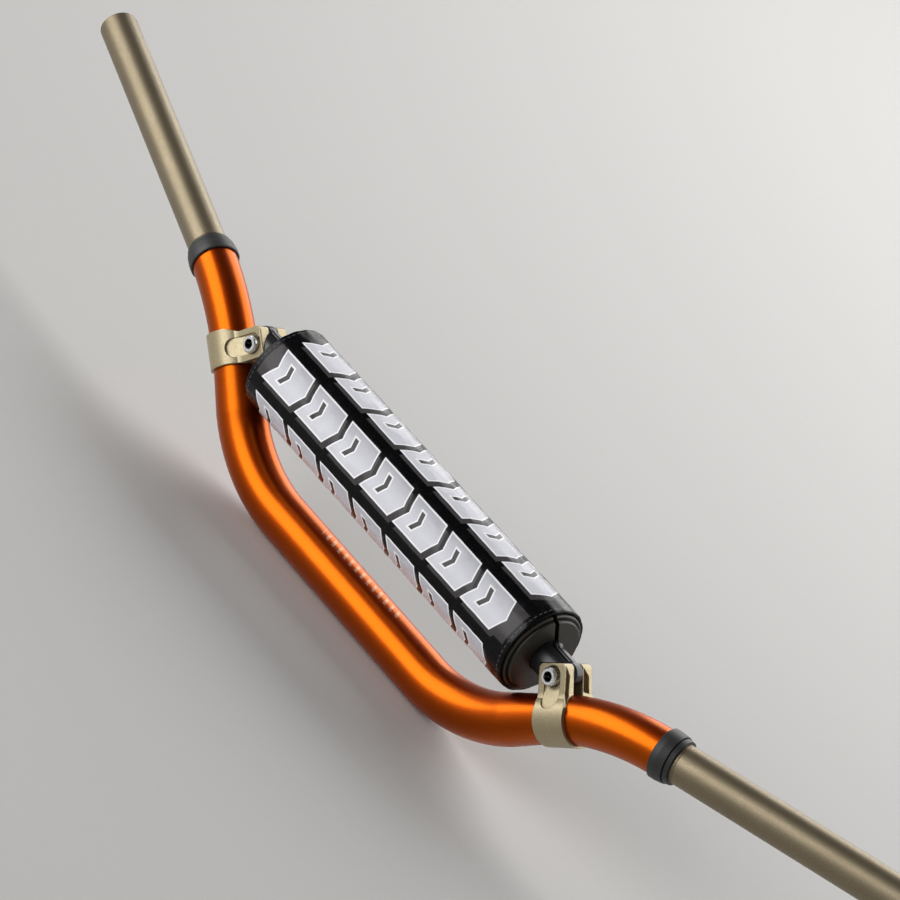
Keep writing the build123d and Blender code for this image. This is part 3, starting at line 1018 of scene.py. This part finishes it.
@dataclass(frozen=True)
class PadFinishes:
    """The pad's foam, printed vinyl and webbing. Lengths of the print are in millimetres.

    Attributes:
        row_pitch: From one printed row to the next, round the girth.
        row_middle: Middle of the front row, from the top toward the front.
        row_half: Half a row's width.
        block_pitch: From one block to the next.
        block_half: Half a block's length.
        middle_block: Middle of the row's middle block along X.
        blocks: Number of blocks in a row.
        point: How far a block's tip runs ahead of its sides.
        outline: Width of the white outline.
        slot_half: Half the slot in a block, along X.
        slot_reach: Half the slot, across the row.
        slot_back: How far the slot lies behind the block's middle.
        shadow: How far the shadow block lies ahead.
        drop: How far the shadow block lies down the front.
        end_start: Where the grey ends of the print start.
        end_stop: Where they stop.
        soft: Width of the print's soft edges.
        fade: Where a block's lower, even shade starts, as a share of the row's half width. Above it the
            fill darkens toward the upper edge, partly the print's gradient and partly painted shade.
        seam: The hems' seams along X.
        stitch_pitch: From one stitch to the next, round the girth.
        stitch_half: Half a stitch's length.
        stitch_wide: Half its width.
        thread: The thread's colour.
        thread_share: How strongly it shows.
        gloss: Roughness of the vinyl where it is smoothest and dullest.
        shine: How strongly it reflects.
        black: The vinyl's colour.
        grey: The shadow blocks' colour.
        dim: The light blocks' colour at the upper edge, darker partly from the print's gradient and partly
            from painted shade.
        light: The light blocks' colour at the lower edge.
        white: The outline's colour.
        yarn: From one of the strip's yarns to the next, in metres.
    """

    row_pitch: float = 29.94
    row_middle: float = 31.57
    row_half: float = 10.6
    block_pitch: float = 31.5
    block_half: float = 13.6
    middle_block: float = -1.0
    blocks: int = 7
    point: float = 5.0
    outline: float = 1.0
    slot_half: float = 1.6
    slot_reach: float = 5.6
    slot_back: float = 4.0
    shadow: float = 3.0
    drop: float = 2.4
    end_start: float = 98.0
    end_stop: float = 116.5
    soft: float = 0.18
    fade: float = 0.35
    seam: float = 118.6
    stitch_pitch: float = 3.2
    stitch_half: float = 1.1
    stitch_wide: float = 0.35
    thread: Colour = (0.12, 0.12, 0.13)
    thread_share: float = 0.6
    gloss: tuple[float, float] = (0.22, 0.30)
    shine: float = 0.17
    black: Colour = (0.0015, 0.0015, 0.002)
    grey: Colour = (0.050, 0.045, 0.048)
    dim: Colour = (0.42, 0.42, 0.46)
    light: Colour = (0.60, 0.60, 0.65)
    white: Colour = (0.82, 0.82, 0.84)
    yarn: float = 0.0012

    def vinyl(self) -> bpy.types.Material:
        """Makes the printed vinyl: rows of light arrow blocks on black.

        Returns:
            The material.
        """
        shader = Shader("printed_vinyl")
        layout = SleevePrint(self, shader)
        length, width, line = self.block_half, self.row_half, self.outline
        slot, slot_wide = self.slot_half, self.slot_reach
        block = layout.shapes(0.0, 0.0, length, width)
        stitch = layout.stitches()
        # The blocks' fill darkens toward each row's upper edge: partly the print's own gradient, partly
        # painted shade.
        fade = shader.spread(layout.across, (-width, width * self.fade), 0.0, 1.0)
        colour: object = self.black
        for share, layer in (
            (layout.shapes(self.shadow, self.drop, length, width), self.grey),
            (layout.ends(), self.grey),
            (block, self.white),
            (layout.shapes(0.0, 0.0, length - line, width - line), shader.mix(fade, self.dim, self.light)),
            (layout.shapes(-self.slot_back, 0.0, slot + line, slot_wide + line), self.white),
            (layout.shapes(-self.slot_back, 0.0, slot, slot_wide), self.grey),
            (shader.math("MULTIPLY", stitch, self.thread_share), self.thread),
        ):
            colour = shader.mix(share, colour, layer)
        skin = shader.noise(shader.place(), scale=2600.0, detail=3.0)
        weave = shader.noise(shader.place(), scale=700.0, detail=2.0)
        shader.set(
            Base_Color=colour, Roughness=shader.spread(weave, NOISE_SPAN, *self.gloss),
            Specular_IOR_Level=self.shine,
        )
        height = shader.math("ADD", shader.math("MULTIPLY", skin, 0.5), shader.math("ADD", block, stitch))
        shader.bump(height, strength=0.35, distance=0.00005)
        return shader.material

    def foam(self) -> bpy.types.Material:
        """Makes the closed-cell foam.

        Returns:
            The material.
        """
        shader = Shader("pad_foam")
        cells = shader.noise(shader.place(), scale=1600.0, detail=4.0, rough=0.7)
        colour = shader.mix(cells, first=(0.012, 0.012, 0.012), second=(0.03, 0.03, 0.03))
        shader.set(Base_Color=colour, Roughness=0.9)
        shader.bump(cells, strength=0.8, distance=0.0003)
        return shader.material

    def webbing(self) -> bpy.types.Material:
        """Makes the woven closure strip.

        Returns:
            The material.
        """
        shader = Shader("closure_webbing")
        across = (shader.repeat(shader.axis(shader.place(), name), self.yarn) for name in ("X", "Z"))
        warp, weft = (shader.inside(place, self.yarn / 3, soft=self.yarn / 4) for place in across)
        colour = shader.mix(warp, first=(0.010, 0.010, 0.011), second=(0.022, 0.022, 0.024))
        shader.set(Base_Color=colour, Roughness=0.8)
        shader.bump(shader.math("ADD", warp, weft), strength=0.6, distance=0.0002)
        return shader.material


class SleevePrint:
    """Where each colour of the print goes, from the sleeve's stored lengths."""

    def __init__(self, sizes: PadFinishes, shader: Shader) -> None:
        """Reads the places along and round the sleeve.

        Args:
            sizes: The print's sizes.
            shader: The vinyl's shader.
        """
        self.sizes = sizes
        self.shader = shader
        self.along = shader.attribute("along")
        self.outward = shader.math("ABSOLUTE", self.along)
        self.girth = shader.attribute("girth")
        self.from_row = shader.math("SUBTRACT", self.girth, sizes.row_middle)
        self.across = shader.repeat(self.from_row, sizes.row_pitch)

    def shapes(self, shift: float, drop: float, half: float, reach: float) -> bpy.types.NodeSocket:
        """Gives rows of shapes with pointed ends, one shape in each block.

        Args:
            shift: How far the shapes lie ahead of the blocks.
            drop: How far they lie down the front.
            half: Half a shape's length.
            reach: Half its width.

        Returns:
            The share socket, from 0 to 1.
        """
        s, shader = self.sizes, self.shader
        side = shader.math("SUBTRACT", self.across, drop)
        back = shader.math("MULTIPLY", shader.math("ABSOLUTE", side), s.point / s.row_half)
        start = s.middle_block + shift + s.point / 2
        place = shader.math("ADD", shader.math("SUBTRACT", self.along, start), back)
        row = shader.inside(place, s.blocks * s.block_pitch / 2, s.soft)
        block = shader.inside(shader.repeat(place, s.block_pitch), half, s.soft)
        return shader.both(row, shader.both(block, shader.inside(side, reach, s.soft)))

    def ends(self) -> bpy.types.NodeSocket:
        """Gives the grey ends of the front row.

        Returns:
            The share socket, from 0 to 1.
        """
        s, shader = self.sizes, self.shader
        from_middle = shader.math("SUBTRACT", self.outward, (s.end_start + s.end_stop) / 2)
        band = shader.inside(from_middle, (s.end_stop - s.end_start) / 2, s.soft)
        return shader.both(band, shader.inside(self.from_row, s.row_half, s.soft))

    def stitches(self) -> bpy.types.NodeSocket:
        """Gives the stitches of both hems.

        Returns:
            The share socket, from 0 to 1.
        """
        s, shader = self.sizes, self.shader
        seam = shader.inside(shader.math("SUBTRACT", self.outward, s.seam), s.stitch_wide, soft=0.2)
        stitch = shader.inside(shader.repeat(self.girth, s.stitch_pitch), s.stitch_half, soft=0.3)
        return shader.both(seam, stitch)


def dress(nodes: dict[str, bpy.types.Object]) -> None:
    """Gives every CAD piece that keeps its mesh the finish of its kind.

    Args:
        nodes: The CAD nodes by name.
    """
    made = {look: look.value.material() for look in Look}
    for name, piece in nodes.items():
        kind = name.replace("left_", "").replace("right_", "")
        if kind not in NODE_LOOKS:
            continue
        material = made[NODE_LOOKS[kind]]
        for slot in piece.material_slots:
            slot.material = material
        log.info("finish %s on %s", material.name, name)


@dataclass(frozen=True)
class View:
    """The photograph's camera.

    Attributes:
        place: Where the lens is.
        target: The point in the middle of the picture.
        roll: How far the camera is turned about its own axis, in degrees.
        lens: Focal length in millimetres on a 36 mm wide sensor.
    """

    place: Point = (1.377715, -1.856439, 1.055984)
    target: Point = (-0.018811, 0.030769, 0.087041)
    roll: float = 31.6575
    lens: float = 189.055

    def make(self) -> None:
        """Makes the camera."""
        data = bpy.data.cameras.new("camera")
        data.lens = self.lens
        data.sensor_width = 36.0
        data.clip_start, data.clip_end = 0.1, 50.0
        camera = added("camera", data)
        camera.matrix_world = aimed(self.place, self.target, self.roll)
        bpy.context.scene.camera = camera


@dataclass(frozen=True)
class Lamp:
    """One soft box.

    Attributes:
        name: Its name.
        place: Where it stands.
        target: What it faces.
        width: Its width.
        height: Its height.
        power: Its power in watts.
    """

    name: str
    place: Point
    target: Point
    width: float
    height: float
    power: float

    def make(self) -> None:
        """Makes the light."""
        data = bpy.data.lights.new(self.name, "AREA")
        data.shape = "RECTANGLE"
        data.size, data.size_y = self.width, self.height
        data.energy = self.power
        added(self.name, data).matrix_world = aimed(self.place, self.target)


@dataclass(frozen=True)
class Studio:
    """The floor, the lights and the picture's settings.

    Attributes:
        floor_height: The floor's height, under the bar's lowest point.
        floor_half: Half the floor's side.
        floor_colour: The floor's colour.
        speck_shade: How bright its specks are, against that colour.
        overhead: Strength of the light from above.
        level: Strength of the light from the sides.
        view: The camera.
        lamps: The soft boxes.
    """

    floor_height: float = -0.0146
    floor_half: float = 4.0
    floor_colour: Colour = (0.49, 0.482, 0.470)
    speck_shade: float = 0.97
    overhead: float = 0.05
    level: float = 0.38
    view: View = field(default_factory=View)
    lamps: tuple[Lamp, ...] = (
        Lamp("key", (-1.05, -1.45, 0.66), (-0.1, 0.0, 0.03), width=2.3, height=1.45, power=43.0),
        Lamp("rim", (0.1, 1.45, 1.05), (0.0, 0.0, 0.05), width=3.4, height=1.6, power=55.0),
    )

    def sky(self, tree: bpy.types.NodeTree) -> None:
        """Makes the room's light, dim overhead and brighter at the sides.

        Args:
            tree: The world's node tree.
        """
        background = tree.nodes["Background"]
        direction = tree.nodes.new("ShaderNodeTexCoord")
        parts = tree.nodes.new("ShaderNodeSeparateXYZ")
        ramp = tree.nodes.new("ShaderNodeMapRange")
        for name, number in (
            ("From Min", 0.0), ("From Max", 0.8), ("To Min", self.level), ("To Max", self.overhead),
        ):
            ramp.inputs[name].default_value = number
        tree.links.new(direction.outputs["Generated"], parts.inputs[0])
        tree.links.new(parts.outputs["Z"], ramp.inputs["Value"])
        tree.links.new(ramp.outputs["Result"], background.inputs["Strength"])
        background.inputs["Color"].default_value = (1.0, 1.0, 1.0, 1.0)

    def build(self) -> None:
        """Makes the floor, the lights, the world and the camera."""
        scene = bpy.context.scene
        half = self.floor_half
        mesh = bpy.data.meshes.new("floor")
        sides = ((-half, -half), (half, -half), (half, half), (-half, half))
        mesh.from_pydata([(x, y, self.floor_height) for x, y in sides], [], [(0, 1, 2, 3)])
        shader = Shader("studio_floor")
        speck = shader.noise(shader.place(), scale=140.0, detail=4.0)
        tint = scaled(self.floor_colour, self.speck_shade)
        shader.set(Base_Color=shader.mix(speck, self.floor_colour, tint), Roughness=0.75)
        mesh.materials.append(shader.material)
        added("floor", mesh)
        world = bpy.data.worlds.new("studio")
        scene.world = world
        world.use_nodes = True
        self.sky(world.node_tree)
        for lamp in self.lamps:
            lamp.make()
        self.view.make()
        scene.view_settings.view_transform = "Standard"


def main() -> None:
    """Builds the scene."""
    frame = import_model()
    dress(frame["nodes"])
    BarPad(PadSizes.from_frame(), VinylSettings(), PadFinishes()).build()
    Studio().build()


if __name__ == "__main__":
    main()
